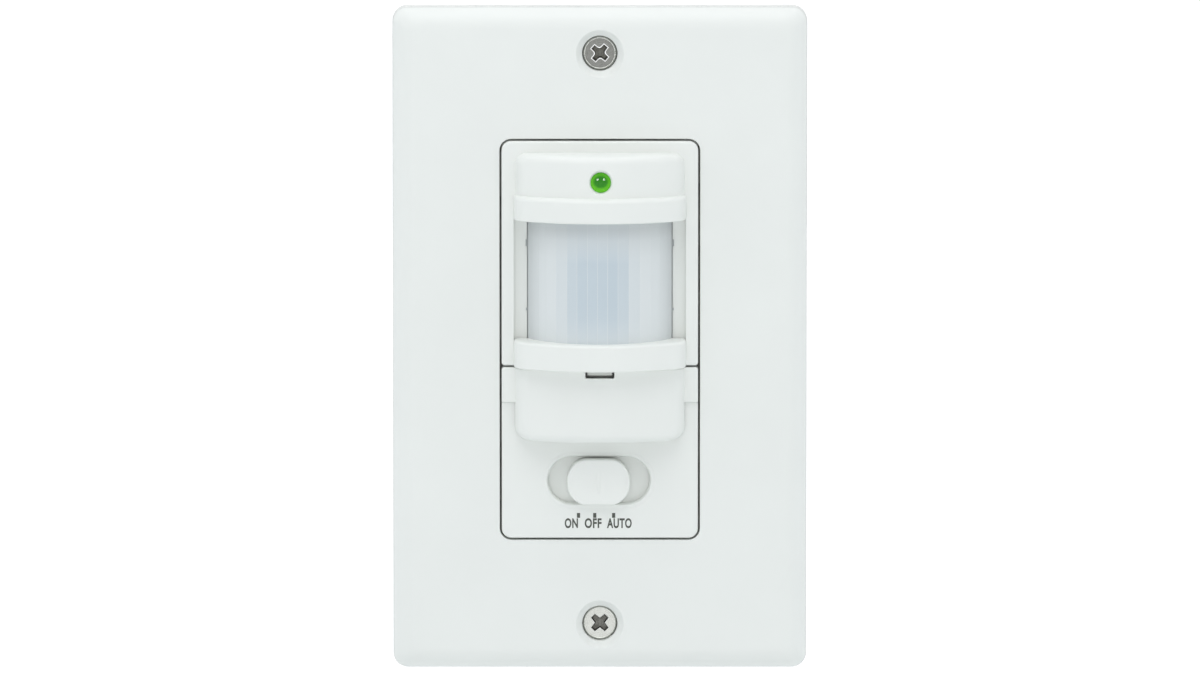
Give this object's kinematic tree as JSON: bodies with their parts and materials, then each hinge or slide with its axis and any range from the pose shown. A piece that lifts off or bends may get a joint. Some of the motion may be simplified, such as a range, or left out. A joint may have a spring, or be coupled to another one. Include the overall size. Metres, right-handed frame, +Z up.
{
  "type": "motion sensor light switch",
  "caption": "Wall-mounted motion sensor light switch: cover plate, hooded faceted lens with status light, hinged control door over dials, and a sliding mode switch.",
  "frame": {"origin": "on the wall plane, midway between the two mounting holes of the strap", "axes": "+Z up the switch, +X to the right seen from the front, the front faces -Y and the housing runs to +Y"},
  "size_m": [0.0698, 0.0442, 0.1124],
  "materials": {
    "plate_plastic": "smooth satin white moulding",
    "front_plastic": "smooth satin white moulding",
    "lens_plastic": "milky translucent sheet with upright facets",
    "led_green": "clear green tinted resin",
    "dial_plastic": "moulded off-white",
    "dark_plastic": "fine-textured black",
    "steel": "zinc plated",
    "brass": "plain brass",
    "ground_green": "green dyed plating",
    "board_green": "green solder mask",
    "relay_blue": "moulded blue",
    "film_red": "dipped red",
    "can_dark": "shrunk dark blue sleeve",
    "varistor_blue": "dipped blue",
    "trimmer_blue": "moulded blue",
    "filter_dark": "coated infra-red filter",
    "sensor_amber": "clear resin",
    "print_ink": "dark grey printing"
  },
  "bodies": {
    "switch_base": {"wall_plate": "plate_plastic", "plate_screw_top": "steel", "plate_screw_bottom": "steel", "mounting_strap": "steel", "ground_screw": "ground_green", "sensor_bezel": "front_plastic", "switch_panel": "front_plastic", "mode_switch_body": "steel", "fresnel_lens": "lens_plastic", "lens_retainer": "dark_plastic", "status_led": "led_green", "led_legs": "steel", "pir_can": "steel", "pir_window": "filter_dark", "pir_spacer": "dark_plastic", "pir_leads": "steel", "light_sensor": "sensor_amber", "control_chip": "dark_plastic", "sensor_board": "board_green", "time_trimmer": "trimmer_blue", "light_trimmer": "trimmer_blue", "range_trimmer": "trimmer_blue", "board_header": "dark_plastic", "power_board": "board_green", "relay": "relay_blue", "film_capacitor": "film_red", "filter_capacitor": "can_dark", "varistor": "varistor_blue", "rear_housing": "dark_plastic", "housing_screws": "steel", "board_screws": "steel", "terminal_plates": "brass", "terminal_screws": "brass"},
    "control_door": {"control_door": "front_plastic"},
    "mode_slider": {"mode_slider": "front_plastic", "mode_switch_carriage": "dark_plastic"},
    "time_dial": {"time_dial": "dial_plastic"},
    "light_dial": {"light_dial": "dial_plastic"},
    "range_dial": {"range_dial": "dial_plastic"}
  },
  "joints": [
    {"name": "door_hinge", "type": "hinge", "parent": "switch_base", "child": "control_door", "pos_m": [0, -0.008, -0.0154], "axis": [1, 0, 0], "range_deg": [0, 85]},
    {"name": "mode_slide", "type": "slide", "parent": "switch_base", "child": "mode_slider", "axis": [1, 0, 0], "range_m": [-0.00285, 0.00285]},
    {"name": "time_dial_turn", "type": "hinge", "parent": "switch_base", "child": "time_dial", "pos_m": [-0.0085, 0, -0.0105], "axis": [0, 1, 0], "range_deg": [-135, 135]},
    {"name": "light_dial_turn", "type": "hinge", "parent": "switch_base", "child": "light_dial", "pos_m": [0, 0, -0.0105], "axis": [0, 1, 0], "range_deg": [-135, 135]},
    {"name": "range_dial_turn", "type": "hinge", "parent": "switch_base", "child": "range_dial", "pos_m": [0.0085, 0, -0.0105], "axis": [0, 1, 0], "range_deg": [-135, 135]}
  ]
}
